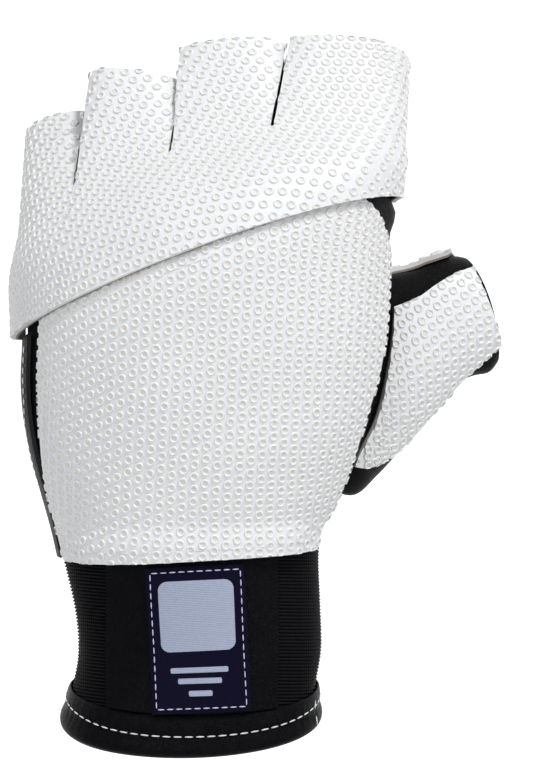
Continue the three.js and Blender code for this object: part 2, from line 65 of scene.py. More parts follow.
tip_row = slit_row + finger_rows
half_slit = 0.45
knuckle_round = 0.9
end_tilt = 0.52
finger_wide = (16.5, 24.5, 27.5, 32.4)
finger_deep = (14, 18, 20, 21)
finger_turn = (20, 6, 0, -8)
finger_slope = (0.1, -0.19, 0.07, -0.03)
finger_end = ((-35.6, 19, 162.28), (-15.2, 13, 173.02), (11.42, 16, 181.18), (41.41, 18, 181.54))
opening_corner = 0.67
weld = 0.00002  # metres: seam lips closer than this are joined


def between(column, at):
    """Reads a column at places between its rows, on a smooth curve through them."""
    row = np.clip(np.floor(at).astype(int), 0, len(column) - 2)
    share = at - row
    ends = (2 * column[0] - column[1], 2 * column[-1] - column[-2])
    padded = np.concatenate((ends[:1], column, ends[1:]))
    before, start, end, after = (padded[row + step] for step in range(4))
    bend = 2 * before - 5 * start + 4 * end - after
    return start + share / 2 * (end - before + share * (
        bend + share * (3 * (start - end) + after - before)))


def lerp(start, end, share):
    return start + (end - start) * share


def smoothstep(value, low, high):
    share = np.clip((value - low) / (high - low), 0, 1)
    return share * share * (3 - 2 * share)


def unit(vectors):
    return vectors / np.maximum(np.linalg.norm(vectors, axis=-1, keepdims=True), 1e-9)


def unevenness(points):
    """How far the hand inside pushes the form out, in mm: long, shallow swells."""
    x, y, z = points[..., 0], points[..., 1], points[..., 2]
    return (0.22 * np.sin(x / 9.1 + z / 17.3 + 0.7) * np.cos(z / 12.7 - y / 15.1)
            + 0.16 * np.sin(x / 5.3 - z / 7.9 + 2.1) * np.sin(z / 10.3 + x / 19.7 + 0.4))


def hand(angle, at):
    """A point of the form: angle in degrees from the left side over the back of the hand."""
    value = {name: between(column, at) for name, column in hand_rows.items()}
    turn = np.radians(angle)
    share = (1 - np.cos(turn)) / 2
    bulge = np.sin(turn)
    depth = np.where(bulge > 0, value["back"], value["palm"]) - value["side"]
    y = value["side"] + depth * np.abs(bulge) ** value["full"]
    up = lerp(value["left_up"], value["right_up"], share)
    points = np.stack((lerp(value["left"], value["right"], share), y,
                       up - value["tilt"] * (y - value["side"])), axis=-1)
    outward = np.stack((-np.cos(turn), -np.sin(turn), 0 * turn), axis=-1)
    return points + outward * unevenness(points)[..., None]


def opening(finger, angle):
    """A point of a finger opening's edge: 90 degrees on its back, 0 on its thumb side."""
    turn = np.radians(angle)
    tip = math.radians(finger_turn[finger])
    swing = [np.sign(v) * np.abs(v) ** opening_corner for v in (np.cos(turn), np.sin(turn))]
    across = finger_wide[finger] / 2 * swing[0]
    behind = -finger_deep[finger] / 2 * swing[1]
    x = across * math.cos(tip) + behind * math.sin(tip)
    y = behind * math.cos(tip) - across * math.sin(tip)
    return np.stack((x, y, finger_slope[finger] * x - end_tilt * y), axis=-1) + finger_end[finger]


def opening_along(finger, from_angle, to_angle):
    """The stretch of a finger opening's edge between two angles, evenly by its length, and a
    little way past both of them."""
    spare, count = 0.3, 400
    turns = lerp(from_angle, to_angle, np.linspace(-spare, 1 + spare, count))
    points = opening(finger, turns)
    length = np.concatenate(([0], np.cumsum(np.linalg.norm(np.diff(points, axis=0), axis=1))))
    first, last = np.interp((0, 1), np.linspace(-spare, 1 + spare, count), length)
    length = (length - first) / (last - first)
    return lambda share: np.stack(
        [np.interp(share, length, points[:, k]) for k in range(3)], axis=-1)


def cover(spans, only=None):
    """The form up the hand and on up the fingers, or on up one of them. A span is a finger, its
    two angles on the hand and its two angles on the opening."""
    borders = [span[1] - half_slit for span in spans[1:]]
    curves = [opening_along(span[0], span[3], span[4]) for span in spans]

    def place(angle, at):
        angle, at = np.broadcast_arrays(np.asarray(angle, float), np.asarray(at, float))
        start = hand(angle, np.full(at.shape, float(slit_row)))
        number = np.searchsorted(borders, angle) if only is None else np.full(angle.shape, only)
        tip = np.zeros(start.shape)
        for index, (_, low, high, _, _) in enumerate(spans):
            here = number == index
            tip[here] = curves[index]((angle[here] - low) / (high - low))
        share = (at - slit_row) / finger_rows
        up = lerp(start, tip, share[..., None])
        points = np.where((at < slit_row)[..., None], hand(angle, np.minimum(at, slit_row)), up)
        turn = np.clip((at - slit_row + knuckle_round) / (2 * knuckle_round), 0, 1)[..., None]
        below = np.full(at.shape, slit_row - knuckle_round)
        low = hand(angle, below)
        high = lerp(start, tip, knuckle_round / finger_rows)
        leave = (hand(angle, below + 0.01) - hand(angle, below - 0.01)) / 0.02 * 2 * knuckle_round
        arrive = (tip - start) / finger_rows * 2 * knuckle_round
        bend = (low * (1 + 2 * turn) * (1 - turn) ** 2 + leave * turn * (1 - turn) ** 2
                + high * turn ** 2 * (3 - 2 * turn) - arrive * turn ** 2 * (1 - turn))
        near = (np.abs(at - slit_row) < knuckle_round)[..., None]
        return np.where(near, bend, points)
    return place


def slopes(place, a, b):
    """The surface's two directions and its outward normal at places on it."""
    step_a, step_b = 0.3, 0.02
    along_a = (place(a + step_a, b) - place(a - step_a, b)) / (2 * step_a)
    along_b = (place(a, b + step_b) - place(a, b - step_b)) / (2 * step_b)
    return along_a, along_b, unit(np.cross(along_a, along_b))


def lifted(place, a, b, height):
    """Points a height in mm off a surface."""
    return place(a, b) + slopes(place, a, b)[2] * np.asarray(height)[..., None]


def sheet(columns, rows, points_at):
    """A grid bent onto a form: points_at takes its columns and rows and gives places in mm."""
    bm = bmesh.new()
    bmesh.ops.create_grid(bm, x_segments=columns, y_segments=rows, size=0.5)
    flat = np.array([vert.co[:2] for vert in bm.verts]) + 0.5
    column = np.rint(flat[:, 0] * columns).astype(int)
    row = np.rint(flat[:, 1] * rows).astype(int)
    uv = bm.loops.layers.uv.new("UVMap")
    for face in bm.faces:
        for loop in face.loops:
            loop[uv].uv = flat[loop.vert.index]
    for vert, point in zip(bm.verts, points_at(column, row)):
        vert.co = point * mm
    bm.normal_update()
    return bm


def thicken(bm, wall, inner=0, rim=0):
    """Gives a sheet its thickness inwards, with a finish for its inner side and its cut edge."""
    bm.normal_update()
    faces = bm.faces[:]
    inward = [(vert, -wall * mm * vert.normal) for vert in bm.verts]
    raised = bmesh.ops.extrude_face_region(bm, geom=faces + bm.edges[:], use_keep_orig=True)["geom"]
    outer = {item for item in raised if isinstance(item, bmesh.types.BMFace)}
    outer_verts = {vert for face in outer for vert in face.verts}
    uv = bm.loops.layers.uv.active
    for face in bm.faces:
        if face not in outer:
            face.material_index = rim
            for loop in face.loops:
                loop[uv].uv.y = loop.vert in outer_verts
    for face in faces:
        face.material_index = inner
    for vert, move in inward:
        vert.co += move


def piece(name, bm, finishes, slot, *nodes, sharp=40):
    """Makes an object of a mesh that stands for CAD nodes."""
    mesh = bpy.data.meshes.new(name)
    bm.to_mesh(mesh)
    bm.free()
    for finish in finishes:
        mesh.materials.append(finish)
    mesh.shade_smooth()
    mesh.set_sharp_from_angle(angle=math.radians(sharp))
    made = bpy.data.objects.new(name, mesh)
    bpy.context.scene.collection.objects.link(made)
    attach(made, "root")
    if nodes:
        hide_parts(*nodes)
    return made


class Value:
    """A socket that takes part in sums."""

    def __init__(self, finish, socket):
        self.finish = finish
        self.socket = socket

    def sum(self, operation, *others):
        inputs = dict(enumerate((self, *others)))
        return self.finish.node("Math", {"operation": operation}, inputs)

    def __add__(self, other):
        return self.sum("ADD", other)

    def __sub__(self, other):
        return self.sum("SUBTRACT", other)

    def __rsub__(self, other):
        return (self * -1) + other

    def __mul__(self, other):
        return self.sum("MULTIPLY", other)

    __radd__ = __add__
    __rmul__ = __mul__


class Finish:
    """A material made of nodes round one Principled shader."""

    def __init__(self, name, **constants):
        self.material = bpy.data.materials.new(name)
        self.material.use_nodes = True
        self.shader = self.material.node_tree.nodes["Principled BSDF"]
        self.set(**constants)

    def set(self, **sockets):
        for name, value in sockets.items():
            self.fill(self.shader.inputs[name.replace("_", " ")], value)

    def fill(self, socket, value):
        if isinstance(value, Value):
            self.material.node_tree.links.new(value.socket, socket)
        else:
            socket.default_value = value

    def node(self, kind, settings=None, sockets=None, output=0):
        made = self.material.node_tree.nodes.new("ShaderNode" + kind)
        for name, value in (settings or {}).items():
            if name == "stops":
                for index, (place, colour) in enumerate(value):
                    stops = made.color_ramp.elements
                    stop = stops[index] if index < len(stops) else stops.new(place)
                    stop.position = place
                    stop.color = (*colour, 1)
            else:
                setattr(made, name, value)
        for name, value in (sockets or {}).items():
            self.fill(made.inputs[name], value)
        return Value(self, made.outputs[output])

    def noise(self, scale, detail=3, roughness=0.5, place=None):
        return self.node("TexNoise", None, {
            "Vector": place or self.place(), "Scale": scale, "Detail": detail,
            "Roughness": roughness})

    def place(self):
        return self.node("TexCoord", None, None, "Object")

    def ramp(self, value, *stops):
        return self.node("ValToRGB", {"stops": stops}, {"Fac": value})

    def mix(self, share, one, other):
        return self.node("Mix", {"data_type": "RGBA"}, {0: share, 6: one, 7: other}, 2)

    def bump(self, height, distance, strength=1.0):
        normal = self.node("Bump", None, {
            "Height": height, "Distance": distance, "Strength": strength})
        self.set(Normal=normal)


def grey(value, tint=(1, 1, 1)):
    return tuple(value * part for part in tint)


leather = Finish("grained_leather", Roughness=0.5, Specular_IOR_Level=0.07)
pores = leather.node("TexVoronoi", {"feature": "DISTANCE_TO_EDGE"}, {
    "Vector": leather.place(), "Scale": 1500.0})
grain = pores.sum("MINIMUM", 0.25) * 2.4 + leather.noise(3200.0, 4) * 0.3
cloud = leather.noise(90.0, 4, 0.6)
leather_tint = (1.0, 0.93, 1.08)
leather.set(Base_Color=leather.ramp(
    cloud * 0.6 + grain * 0.4, (0.2, grey(0.002, leather_tint)), (0.8, grey(0.007, leather_tint))))
leather.set(Roughness=cloud * 0.25 + 0.3)
leather.bump(grain + cloud * 0.8, 0.0003, 0.7)

lining = Finish("shell_lining", Roughness=0.95, Specular_IOR_Level=0.2, Sheen_Weight=0.1)
fleece = lining.noise(2600.0, 5, 0.7)
lining.set(Base_Color=lining.ramp(fleece, (0.3, grey(0.012)), (0.75, grey(0.04))))
lining.bump(fleece, 0.0003, 0.6)

cut_leather = Finish("cut_leather_edge", Roughness=0.9)
fibres = cut_leather.noise(1800.0, 4, 0.7)
cut_leather.set(Base_Color=cut_leather.ramp(fibres, (0.3, grey(0.01)), (0.8, grey(0.035))))

shell_spans = [
    (0, -slit_angles[0] + half_slit, slit_angles[0] - half_slit, 325, 35),
    (1, slit_angles[0] + half_slit, slit_angles[1] - half_slit, 145, 35),
    (2, slit_angles[1] + half_slit, slit_angles[2] - half_slit, 145, 35),
    (3, slit_angles[2] + half_slit, 360 - slit_angles[2] - half_slit, 145, -145),
    (2, 360 - slit_angles[2] + half_slit, 360 - slit_angles[1] - half_slit, -35, -145),
    (1, 360 - slit_angles[1] + half_slit, 360 - slit_angles[0] - half_slit, -35, -145),
]
shell_form = cover(shell_spans)


def slit_columns(spans, columns):
    """Angles of a grid's columns, with a lip on each side of every slit, and the slits."""
    angles, slits = [], []
    for (_, low, high, _, _), count in zip(spans, columns):
        angles.extend(np.linspace(low, high, count + 1))
        slits.append(len(angles) - 1)
    return np.array(angles), set(slits)


def open_slits(bm, columns, slits, first_row, rows):
    """Takes the faces between two lips away from the bottom of the slits upwards."""
    uv = bm.loops.layers.uv.active
    gone = []
    for face in bm.faces:
        u = sum(loop[uv].uv.x for loop in face.loops) / 4
        v = sum(loop[uv].uv.y for loop in face.loops) / 4
        if math.floor(u * columns) in slits and v * rows > first_row:
            gone.append(face)
    bmesh.ops.delete(bm, geom=gone, context="FACES")


shell_angles, shell_slits = slit_columns(shell_spans, (34, 14, 14, 50, 14, 14))
shell_hand_rows, shell_finger_rows = 70, 18
shell_ats = np.concatenate((
    np.linspace(4.01, slit_row, shell_hand_rows + 1)[:-1],
    np.linspace(slit_row, tip_row - 0.05, shell_finger_rows + 1)))
shell_angles = np.append(shell_angles, shell_angles[0] + 360)
shell_slits.add(len(shell_angles) - 2)
shell_columns = len(shell_angles) - 1


pucker_angle, pucker_row, pucker_height = 176, 7.84, 2.0  # where the leather bunches by the thumb


def shell_points(column, row):
    angle = shell_angles[column]
    at = shell_ats[row]
    wrapped = np.where(angle > 360 - slit_angles[0], angle - 360, angle)
    pucker = np.exp(-((wrapped - pucker_angle) / 10) ** 2 - ((at - pucker_row) / 0.13) ** 2)
    return lifted(shell_form, wrapped, at, pucker_height * pucker)


thumb_root = np.array((34.37, 0, 60.96))
thumb_size = np.array((50.3, 24, 68))
thumb_rows = {
    "top_along": (0.12, 0.298, 0.423, 0.535, 0.616, 0.7, 0.757, 0.79),
    "top_up": (0.82, 0.89, 0.913, 0.93, 0.955, 0.978, 0.985, 0.98),
    "bottom_along": (0, 0.187, 0.32, 0.463, 0.6, 0.728, 0.86, 0.97),
    "bottom_up": (0.06, 0.015, 0.092, 0.206, 0.33, 0.44, 0.515, 0.56),
    "behind": (0.08, 0.25, 0.37, 0.49, 0.61, 0.72, 0.82, 0.9),
    "back": (0.3, 0.42, 0.45, 0.46, 0.46, 0.45, 0.44, 0.44),
    "palm": (0.28, 0.46, 0.5, 0.5, 0.47, 0.44, 0.42, 0.41),
    "crown": (0, 0, 0, 0, 0, 0.01, 0.04, 0.07),
}
thumb_rows = {name: np.array(column, float) for name, column in thumb_rows.items()}
thumb_end = 7


def thumb(angle, at):
    """A point of the thumb's form: angle in degrees from its top over its back."""
    angle, at = np.broadcast_arrays(np.asarray(angle, float), np.asarray(at, float))
    value = {name: between(column, at) for name, column in thumb_rows.items()}
    turn = np.radians(angle)
    share = (1 - np.cos(turn)) / 2
    bulge = np.sin(turn)
    lead = value["crown"] * np.abs(bulge)
    depth = np.where(bulge > 0, -value["back"], value["palm"])
    points = np.stack((
        lerp(value["top_along"], value["bottom_along"], share) + lead,
        value["behind"] + depth * np.abs(bulge),
        lerp(value["top_up"], value["bottom_up"], share)
        + lead / 2 * thumb_size[0] / thumb_size[2]), axis=-1) * thumb_size + thumb_root
    outward = np.stack((0 * turn, -np.sin(turn), np.cos(turn)), axis=-1)
    return points + outward * unevenness(points)[..., None]


def thumb_tube(height, columns=72, rows=60):
    """The thumb's whole tube, a height in mm off its form, for finding what it passes through."""
    bm = sheet(columns, rows, lambda column, row: lifted(
        thumb, 360 * column / columns, thumb_end * row / rows, np.full(len(row), float(height))))
    tree = BVHTree.FromBMesh(bm)
    bm.free()
    return tree


def depth_in(tree, point):
    """How far inside a tube's wall a point lies, in mm: below 0 outside it."""
    place, normal, _, _ = tree.find_nearest(Vector(point) * mm)
    return -(Vector(point) * mm - place).dot(normal) / mm


def shell_mesh():
    bm = sheet(shell_columns, len(shell_ats) - 1, shell_points)
    open_slits(bm, shell_columns, shell_slits, shell_hand_rows, len(shell_ats) - 1)
    bmesh.ops.remove_doubles(bm, verts=bm.verts[:], dist=weld)
    hole = thumb_tube(-leather_wall)
    inside = {vert: depth_in(hole, vert.co / mm) for vert in bm.verts
              if vert.co.x > 0.03 and vert.co.z < 0.14}
    gone = [face for face in bm.faces if all(inside.get(vert, -1) > 0 for vert in face.verts)]
    bmesh.ops.delete(bm, geom=gone, context="FACES")
    for vert in bm.verts:
        if vert.is_boundary and inside.get(vert, -1) > 0:
            vert.co = hole.find_nearest(vert.co)[0]
    return bm


shell_bm = shell_mesh()
thicken(shell_bm, leather_wall, 1, 2)
piece("glove_shell", shell_bm, (leather.material, lining.material, cut_leather.material),
      "grained_leather", "hand_shell")

# Fourchettes: narrow strips of the same leather folded between neighbouring fingers, sewn to the
# tubes' open sides so that each finger is closed all round and the slits have a floor.
sewn_gap = 0.34  # mm left between two pieces that are sewn together
fold_trim = 1.6 * leather_wall + sewn_gap
fold_spread = 0.4
fold_columns, fold_rows = 24, 41


def fold_points(index):
    angle = slit_angles[index]
    front = hand(np.array([angle]), np.array([float(slit_row)]))[0]
    palm = hand(np.array([360 - angle]), np.array([float(slit_row)]))[0]
    inset = fold_trim / np.linalg.norm(front - palm)

    def points_at(column, row):
        across = column / fold_columns
        along = 2 * row / fold_rows - 1
        start = lerp(front, palm, lerp(inset, 1 - inset, across)[:, None])
        start[:, 0] += np.where(along < 0, -fold_spread, fold_spread)
        ends = []
        for finger, flip in ((index, False), (index + 1, True)):
            reach = 35 - math.degrees(2 * fold_trim / finger_deep[finger])
            edge = opening_along(finger, 180 - reach if flip else reach,
                                 180 + reach if flip else -reach)
            ends.append(edge(across))
        up = (np.abs(along) - 1 / fold_rows)[:, None] * 0.997
        tip = np.where((along < 0)[:, None], ends[0], ends[1])
        return lerp(start, tip, up)
    return points_at


for index in range(3):
    fold_bm = sheet(fold_columns, fold_rows, fold_points(index))
    bmesh.ops.reverse_faces(fold_bm, faces=fold_bm.faces[:])
    thicken(fold_bm, leather_wall, 1, 2)
    piece(f"finger_strip_{index + 1}", fold_bm,
          (leather.material, lining.material, cut_leather.material),
          "grained_leather", f"fourchette_{index + 1}")

# Back panel: white rubber sheet with small moulded rings, 1.1 mm on a thin woven backing, cut to
# the back of the hand and top-stitched. Its cut edge shows pale rubber over the backing, whose
# layer there is painted darker than the backing itself, as painted shade under the edge.
ring_pitch = 3.35
row_pitch = ring_pitch * 0.866
ring_profile = ((1.37, -0.12), (1.27, 0.12), (1.07, 0.5), (0.88, 0.47), (0.66, 0.1), (0.4, 0.05))
ring_sides = 12
cut_ring_reach = 0.8
panel_wall = 1.8
panel_seat = 0.51


def ring_mesh():
    """One moulded ring with a dimple, closed underneath, in mm."""
    bm = bmesh.new()
    made = bmesh.ops.create_circle(
        bm, segments=ring_sides, radius=ring_profile[0][0], cap_ends=True)
    bmesh.ops.translate(bm, verts=made["verts"], vec=(0, 0, ring_profile[0][1]))
    edges = bm.edges[:]
    previous = ring_profile[0][0]
    for radius, height in ring_profile[1:]:
        out = bmesh.ops.extrude_edge_only(bm, edges=edges)["geom"]
        verts = [item for item in out if isinstance(item, bmesh.types.BMVert)]
        edges = [item for item in out if isinstance(item, bmesh.types.BMEdge)]
        bmesh.ops.scale(bm, verts=verts, vec=(radius / previous, radius / previous, 1))
        for vert in verts:
            vert.co.z = height
        previous = radius
    bmesh.ops.contextual_create(bm, geom=edges)
    bmesh.ops.recalc_face_normals(bm, faces=bm.faces[:])
    # The UV's first value marks the ring and its second carries its height, by which the rubber's
    # colour paints shade at the ring's foot and in its dimple.
    uv = bm.loops.layers.uv.new("UVMap")
    for face in bm.faces:
        for loop in face.loops:
            loop[uv].uv = (2, loop.vert.co.z / ring_profile[2][1])
    mesh = bpy.data.meshes.new("moulded_ring")
    bm.to_mesh(mesh)
    bm.free()
    return mesh


one_ring = ring_mesh()
ring_points = np.array([vert.co for vert in one_ring.vertices])


def march(place, a, b, direction, step, count):
    """Walks straight on over a surface: gives the places passed and the directions there."""
    places, headings = [(a, b)], [direction]
    small = 3
    for _ in range(count):
        for _ in range(small):
            along_a, along_b, normal = slopes(place, a, b)
            direction = unit(direction - normal * np.sum(direction * normal, -1, keepdims=True))
            side = unit(along_a)
            other = np.cross(normal, side)
            move = direction * step / small
            move_b = np.sum(move * other, -1) / np.sum(along_b * other, -1)
            move_a = (np.sum(move * side, -1) - np.sum(along_b * side, -1) * move_b)
            a = a + move_a / np.linalg.norm(along_a, axis=-1)
            b = b + move_b
        places.append((a, b))
        headings.append(direction)
    return places, headings


def lattice(place, start, heading, counts, low=-1000, high=1000):
    """Places of the rings' lattice over a surface: rows of them lie along the heading. Counts are
    the half pitches back and on, and the rows to the left and to the right. A row of steps ends
    where it leaves the angles between low and high."""
    back, on, left, right = counts
    origin = [np.array([float(value)]) for value in start]
    heading = unit(np.array([heading], float))
    line = []
    for sign, count in ((-1, back), (1, on)):
        places, headings = march(place, *origin, heading * sign, ring_pitch / 2, count)
        line.extend((sign * number, a[0], b[0], direction[0] * sign)
                    for number, ((a, b), direction) in enumerate(zip(places, headings))
                    if sign > 0 or number > 0)
    numbers, a, b, ahead = (np.array(column) for column in zip(*line))
    across = np.cross(ahead, slopes(place, a, b)[2])
    found = []
    for sign, count in ((-1, left), (1, right)):
        places, _ = march(place, a, b, across * sign, row_pitch, count)
        on_piece = np.full(a.shape, True)
        for step, (here_a, here_b) in enumerate(places):
            on_piece &= (low < here_a) & (here_a < high)
            if sign > 0 or step > 0:
                used = on_piece & ((numbers + step) % 2 == 0)
                found.append(np.stack((here_a[used], here_b[used]), axis=-1))
    return np.concatenate(found)


def mould_rings(bm, place, centres, height_at, clip):
    """Adds a ring at each centre that lies on the piece, cut off where it crosses the edge."""
    for a, b in centres:
        centre_a, centre_b = np.array([a]), np.array([b])
        near_a, near_b = clip(centre_a, centre_b, a)
        if np.linalg.norm(place(centre_a, centre_b) - place(near_a, near_b)) > cut_ring_reach:
            continue
        first = len(bm.verts)
        bm.from_mesh(one_ring)
        bm.verts.ensure_lookup_table()
        along_a, along_b, normal = slopes(place, centre_a, centre_b)
        side = unit(along_a)
        other = np.cross(normal, side)
        move_b = ring_points[:, 1] / np.sum(along_b * other)
        move_a = (ring_points[:, 0] - np.sum(along_b * side) * move_b) / np.linalg.norm(along_a)
        ring_a, ring_b = clip(a + move_a, b + move_b, a)
        base = height_at(ring_a, ring_b)
        points = place(ring_a, ring_b) + normal * (base + ring_points[:, 2])[:, None]
        for vert, point in zip(bm.verts[first:], points):
            vert.co = point * mm


rubber = Finish("dotted_rubber", Specular_IOR_Level=0.45, Sheen_Weight=0.05)
haze = rubber.noise(40.0, 4, 0.6)
specks = rubber.noise(2200.0, 3, 0.6)
ring_uv = rubber.node("TexCoord", None, None, "UV")
on_ring = rubber.node("SeparateXYZ", None, {0: ring_uv}, 0).sum("GREATER_THAN", 1.5)
ring_rise = rubber.node("SeparateXYZ", None, {0: ring_uv}, 1)
flat_tint = rubber.ramp(
    haze * 0.6 + specks * 0.4, (0.25, (0.72, 0.728, 0.74)), (0.7, (0.79, 0.8, 0.812)))
# The ring's colour darkens and warms with falling height towards its foot and into its dimple:
# painted shade where the ring meets the flat and inside the dimple. The crest keeps the rubber's
# own colour.
ring_colour_and_painted_shade = rubber.ramp(
    ring_rise + specks * 0.1, (0.1, (0.71, 0.695, 0.67)), (0.75, (0.79, 0.79, 0.785)))
rubber.set(Base_Color=rubber.mix(on_ring, flat_tint, ring_colour_and_painted_shade))
rubber.set(Roughness=specks * 0.2 + 0.38)
rubber.bump(specks + rubber.noise(700.0, 3) * 2.0, 0.0001, 0.6)

cut_rubber = Finish("rubber_cut_edge", Roughness=0.8)
threads = cut_rubber.noise(2400.0, 4, 0.7)
layer = cut_rubber.node("SeparateXYZ", None, {0: cut_rubber.node("TexCoord", None, None, "UV")}, 1)
# The backing's half of the cut edge is darker than the backing itself: painted shade under the
# edge. The pale half is the rubber's own colour.
cloth_edge_and_painted_shade = cut_rubber.ramp(threads, (0.3, (0.13, 0.11, 0.09)), (0.75, (0.36, 0.33, 0.28)))
cut_rubber.set(Base_Color=cut_rubber.mix(
    (layer + threads * 0.1).sum("GREATER_THAN", 0.4), cloth_edge_and_painted_shade, (0.7, 0.69, 0.67, 1)))
cut_rubber.bump(threads, 0.0002, 0.5)

backing = Finish("woven_backing", Roughness=0.9)
cloth = backing.noise(1500.0, 3)
backing.set(Base_Color=backing.ramp(cloth, (0.3, (0.3, 0.28, 0.24)), (0.8, (0.5, 0.47, 0.4))))

panel_edges = {
    "from": np.array((24, 24, 24, 24, 22, 21, 26, 27, 28, 28, 28), float),
    "to": np.array((156, 156, 156, 156, 158, 161, 157, 162, 163, 163, 163), float),
}
panel_low, panel_high = 3.809, 8.388
panel_corner = 18
panel_columns, panel_rows = 100, 90
patch_climb = 1.44  # how far the lower edge rises over the wrist patch


def panel_sides(at):
    cut_off = panel_corner * np.clip((at - 7.5) / 0.5, 0, 1) ** 1.6
    return between(panel_edges["from"], at), between(panel_edges["to"], at) - cut_off


def panel_height(angle, at):
    """The panel's outer face above the form: it climbs onto the patch at its lower edge."""
    low, high = panel_sides(at)
    share = (at - panel_low) / (panel_high - panel_low)
    beside = np.abs((angle - low) / (high - low) - 0.5)
    climb = (1 - smoothstep(share, 0.04, 0.16)) * (1 - smoothstep(beside, 0.33, 0.46))
    return panel_seat + panel_wall + patch_climb * climb


def panel_clip(angle, at, centre):
    at = np.clip(at, panel_low, panel_high)
    low, high = panel_sides(at)
    return np.clip(angle, low, high), at


def panel_points(column, row):
    at = lerp(panel_low, panel_high, row / panel_rows)
    low, high = panel_sides(at)
    angle = lerp(low, high, column / panel_columns)
    return lifted(hand, angle, at, panel_height(angle, at))


panel_bm = sheet(panel_columns, panel_rows, panel_points)
thicken(panel_bm, panel_wall, 2, 1)
panel_rings = lattice(hand, (89, 6), (0.052, 0, 1), (56, 46, 22, 22))
mould_rings(panel_bm, hand, panel_rings, panel_height, panel_clip)
rubber_finishes = (rubber.material, cut_rubber.material, backing.material)
piece("back_of_hand_panel", panel_bm, rubber_finishes, "dotted_rubber", "back_panel")

# Knuckle band: the same rubber sheet laid over the knuckles and cut into four tabs that run up
# the backs of the fingers. It laps over the back panel and goes round the little finger's side.
band_gap = 0.5
band_from, band_to = -14, 186
over_panel = 2.65
tab_curl = 1.2
band_spans = [
    (0, band_from, slit_angles[0] - band_gap, 200, 35),
    (1, slit_angles[0] + band_gap, slit_angles[1] - band_gap, 148, 32),
    (2, slit_angles[1] + band_gap, slit_angles[2] - band_gap, 148, 32),
    (3, slit_angles[2] + band_gap, band_to, 148, -12),
]
band_form = cover(band_spans)
band_low = 8
band_angles, band_slits = slit_columns(band_spans, (44, 28, 28, 52))
band_columns = len(band_angles) - 1
band_hand_rows, band_finger_rows = 34, 34
band_ats = np.concatenate((
    np.linspace(band_low, slit_row, band_hand_rows + 1)[:-1],
    np.linspace(slit_row, tip_row, band_finger_rows + 1)))
band_slits.discard(band_columns)


def band_height(angle, at):
    """The band's outer face above the form: high over the back panel, down on the leather."""
    above = smoothstep((at - band_low) / (slit_row - band_low), 0.35, 0.95)
    beside = smoothstep(angle, 168, 182)
    past_slit = angle - slit_angles[1]
    curl = np.where(past_slit > 0, np.exp(-(past_slit / 4) ** 2), 0) * smoothstep(at, 10.2, 11.4)
    return lerp(over_panel, sewn_gap, np.maximum(above, beside)) + panel_wall + tab_curl * curl


def band_clip(angle, at, centre):
    at = np.clip(at, band_low, tip_row)
    number = int(np.searchsorted([span[1] for span in band_spans[1:]], centre))
    _, low, high, _, _ = band_spans[number]
    tab = at > slit_row
    angle = np.where(tab, np.clip(angle, low, high), np.clip(angle, band_from, band_to))
    return angle, at


def band_points(column, row):
    angle, at = band_angles[column], band_ats[row]
    return lifted(band_form, angle, at, band_height(angle, at))


band_bm = sheet(band_columns, len(band_ats) - 1, band_points)
open_slits(band_bm, band_columns, band_slits, band_hand_rows, len(band_ats) - 1)
thicken(band_bm, panel_wall, 2, 1)
for number, (_, low, high, _, _) in enumerate(band_spans):
    tab_form = cover(band_spans, number)
    tab_rings = lattice(tab_form, (93, 9.45), (1, 0, 0.12), (50, 50, 22, 20), low - 18, high + 18)
    on_tab = (tab_rings[:, 0] > low - band_gap) & (tab_rings[:, 0] < high + band_gap)
    mould_rings(band_bm, tab_form, tab_rings[on_tab], band_height, band_clip)
piece("knuckle_band_panel", band_bm, rubber_finishes, "dotted_rubber", "knuckle_band")

# Side lap: a strip of leather over the seam down the little finger's side, sewn on with white
# thread close to its edge.
thread = Finish("sewing_thread", Roughness=0.55, Sheen_Weight=0.2)
twist = thread.noise(5200.0, 3, 0.6)
thread.set(Base_Color=thread.ramp(twist, (0.3, (0.62, 0.63, 0.64)), (0.7, (0.82, 0.83, 0.84))))
thread.bump(twist, 0.0001, 0.5)


def sew(name, lines, pitch, dash, radius, finish, slot):
    """Stitches along lines of points in mm, each dipping into the material at its ends."""
    bm = bmesh.new()
    for points, normals in lines:
        steps = np.linalg.norm(np.diff(points, axis=0), axis=1)
        length = np.concatenate(([0], np.cumsum(steps)))
        count = max(1, int(length[-1] / pitch))
        for number in range(count):
            middle = (number + 0.5) * length[-1] / count
            here, back, front = (np.array([np.interp(middle + off, length, points[:, k])
                                           for k in range(3)]) for off in (0, -dash / 2, dash / 2))
            normal = unit(np.array([np.interp(middle, length, normals[:, k]) for k in range(3)]))
            along = unit(front - back)
            side = np.cross(normal, along)
            made = bmesh.ops.create_uvsphere(bm, u_segments=8, v_segments=6, radius=1)["verts"]
            for vert in made:
                local = vert.co
                place = (here + side * local.x * radius + normal * local.y * radius
                         + along * local.z * dash / 2 + normal * radius * 0.35)
                vert.co = place * mm
    return piece(name, bm, (finish.material,), slot, sharp=180)


lap_from, lap_to = -18, 15
lap_low, lap_high = 3.83, 7.95
lap_face = sewn_gap + leather_wall
lap_steps = 160


def lap_points(column, row):
    angle = lerp(lap_from, lap_to, column / 10)
    at = lerp(lap_low, lap_high, row / 60)
    return lifted(hand, angle, at, np.full(len(at), lap_face))


lap_bm = sheet(10, 60, lap_points)
thicken(lap_bm, leather_wall, 1, 2)
piece("side_seam_lap", lap_bm, (leather.material, lining.material, cut_leather.material),
      "grained_leather", "side_lap")
lap_at = np.linspace(lap_low + 0.1, lap_high - 0.15, lap_steps)
lap_turn = np.interp(lap_at, (4, 5, 5.8, 6.6, 8), (-12, -7, 6, 11, 10.5))
lap_line = lifted(hand, lap_turn, lap_at, np.full(lap_steps, lap_face))
sew("side_seam_stitches", [(lap_line, slopes(hand, lap_turn, lap_at)[2])], 2.7, 1.9, 0.22, thread,
    "elastic_knit")

